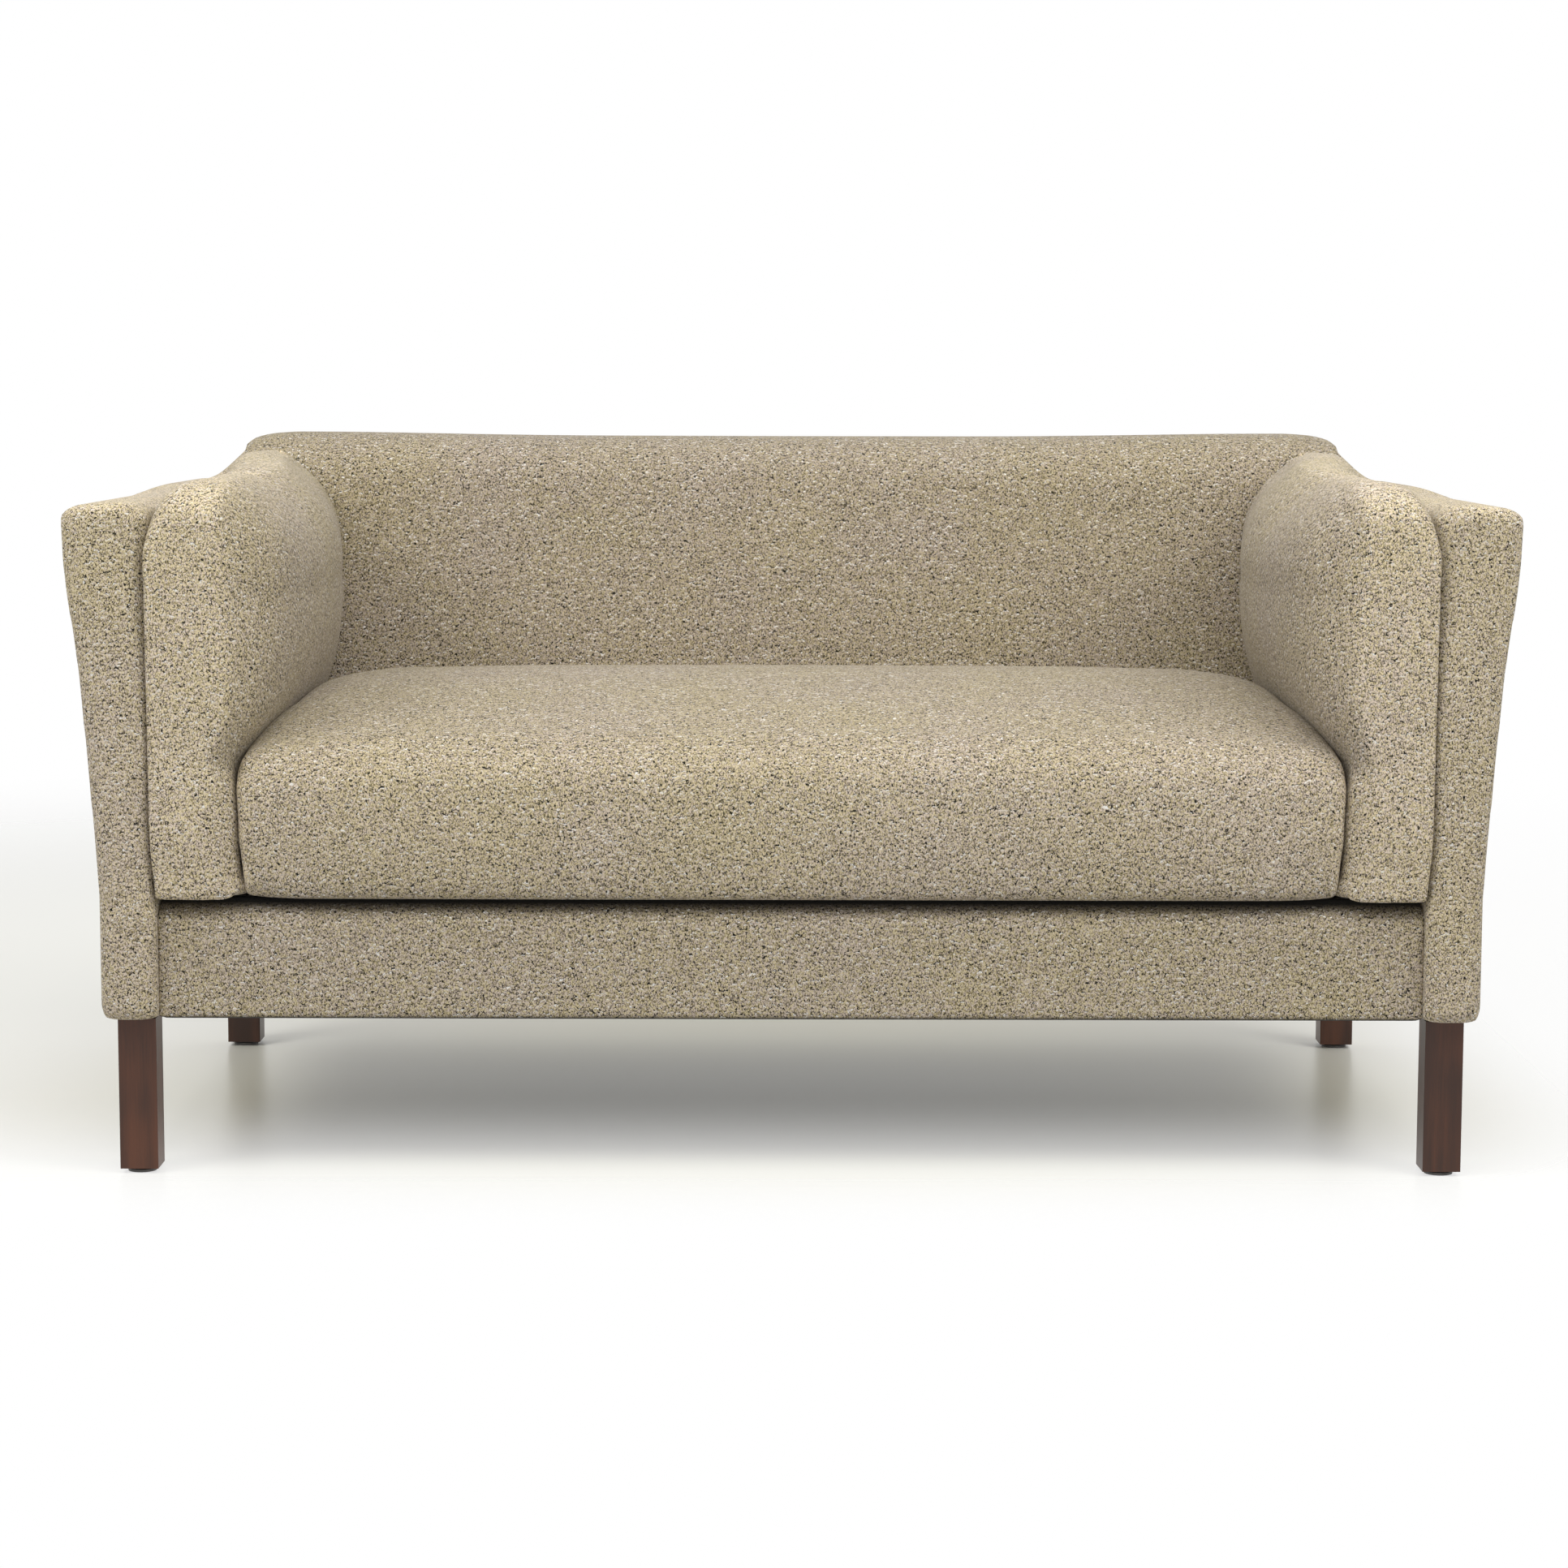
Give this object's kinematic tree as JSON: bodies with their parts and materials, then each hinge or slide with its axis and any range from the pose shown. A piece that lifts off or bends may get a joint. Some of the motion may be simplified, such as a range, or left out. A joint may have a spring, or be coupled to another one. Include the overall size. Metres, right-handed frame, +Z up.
{
  "type": "two-seat sofa",
  "caption": "Upholstered two-seat sofa with flared side panels, bolster arm pads, a loose bench cushion, a tight back and square timber legs on screw glides.",
  "frame": {"origin": "on the floor, under the middle of the sofa's box", "axes": "+X to the right seen from the front, +Y from front to rear, +Z up"},
  "size_m": [1.5008, 0.8, 0.7643],
  "materials": {
    "upholstery": "tufted chenille in sand beige with darker ground",
    "leg_wood": "dark espresso stain under satin lacquer",
    "frame_wood": "raw sawn timber",
    "board": "thin fibreboard",
    "glide_plastic": "moulded grey-brown plastic",
    "glide_steel": "zinc plated",
    "hardware_steel": "zinc plated",
    "webbing": "woven elastic webbing",
    "deck_felt": "needled felt under plain cloth",
    "dust_cloth": "black nonwoven cloth"
  },
  "bodies": {
    "sofa": {"arm_pad_left": "upholstery", "arm_pad_right": "upholstery", "arm_tack_rail_left": "frame_wood", "arm_tack_rail_right": "frame_wood", "arm_top_rail_left": "frame_wood", "arm_top_rail_right": "frame_wood", "back_board": "board", "back_center_upright": "frame_wood", "back_lower_rails": "frame_wood", "back_pad": "upholstery", "back_top_rail": "frame_wood", "back_upright_left": "frame_wood", "back_upright_right": "frame_wood", "back_upright_screws": "hardware_steel", "back_webbing": "webbing", "center_rail": "frame_wood", "corner_block_front_left": "frame_wood", "corner_block_front_right": "frame_wood", "corner_block_rear_left": "frame_wood", "corner_block_rear_right": "frame_wood", "corner_block_screws": "hardware_steel", "dust_cover": "dust_cloth", "front_post_left": "frame_wood", "front_post_right": "frame_wood", "front_rail": "frame_wood", "front_rail_cover": "upholstery", "glide_inserts": "hardware_steel", "leg_bolt_inserts": "hardware_steel", "leg_bolts": "hardware_steel", "leg_front_left": "leg_wood", "leg_front_right": "leg_wood", "leg_rear_left": "leg_wood", "leg_rear_right": "leg_wood", "outside_arm_board_left": "board", "outside_arm_board_right": "board", "outside_back": "upholstery", "rear_post_left": "frame_wood", "rear_post_right": "frame_wood", "rear_rail": "frame_wood", "seat_deck": "deck_felt", "seat_webbing_crosswise": "webbing", "seat_webbing_lengthwise": "webbing", "side_panel_left": "upholstery", "side_panel_right": "upholstery", "side_rail_left": "frame_wood", "side_rail_right": "frame_wood"},
    "front_left_foot": {"glide_pad_front_left": "glide_plastic"},
    "front_left_screw": {"glide_stem_front_left": "glide_steel"},
    "front_right_foot": {"glide_pad_front_right": "glide_plastic"},
    "front_right_screw": {"glide_stem_front_right": "glide_steel"},
    "rear_left_foot": {"glide_pad_rear_left": "glide_plastic"},
    "rear_left_screw": {"glide_stem_rear_left": "glide_steel"},
    "rear_right_foot": {"glide_pad_rear_right": "glide_plastic"},
    "rear_right_screw": {"glide_stem_rear_right": "glide_steel"},
    "cushion": {"seat_cushion": "upholstery"}
  },
  "joints": [
    {"name": "front_left_level", "type": "slide", "parent": "sofa", "child": "front_left_foot", "axis": [0, 0, -1], "range_m": [0, 0.01]},
    {"name": "front_left_turn", "type": "hinge", "parent": "front_left_foot", "child": "front_left_screw", "pos_m": [-0.6843, -0.362, 0.02], "axis": [0, 0, 1], "range_deg": [0, 2881]},
    {"name": "front_right_level", "type": "slide", "parent": "sofa", "child": "front_right_foot", "axis": [0, 0, -1], "range_m": [0, 0.01]},
    {"name": "front_right_turn", "type": "hinge", "parent": "front_right_foot", "child": "front_right_screw", "pos_m": [0.6843, -0.362, 0.02], "axis": [0, 0, 1], "range_deg": [0, 2881]},
    {"name": "rear_left_level", "type": "slide", "parent": "sofa", "child": "rear_left_foot", "axis": [0, 0, -1], "range_m": [0, 0.01]},
    {"name": "rear_left_turn", "type": "hinge", "parent": "rear_left_foot", "child": "rear_left_screw", "pos_m": [-0.6843, 0.358, 0.02], "axis": [0, 0, 1], "range_deg": [0, 2881]},
    {"name": "rear_right_level", "type": "slide", "parent": "sofa", "child": "rear_right_foot", "axis": [0, 0, -1], "range_m": [0, 0.01]},
    {"name": "rear_right_turn", "type": "hinge", "parent": "rear_right_foot", "child": "rear_right_screw", "pos_m": [0.6843, 0.358, 0.02], "axis": [0, 0, 1], "range_deg": [0, 2881]},
    {"name": "cushion_pull", "type": "slide", "parent": "sofa", "child": "cushion", "axis": [0, -1, 0], "range_m": [0, 0.28]}
  ],
  "couplings": [
    {"joint": "front_left_turn", "follows": "front_left_level", "rad_per_m": 5026.5},
    {"joint": "front_right_turn", "follows": "front_right_level", "rad_per_m": 5026.5},
    {"joint": "rear_left_turn", "follows": "rear_left_level", "rad_per_m": 5026.5},
    {"joint": "rear_right_turn", "follows": "rear_right_level", "rad_per_m": 5026.5}
  ]
}
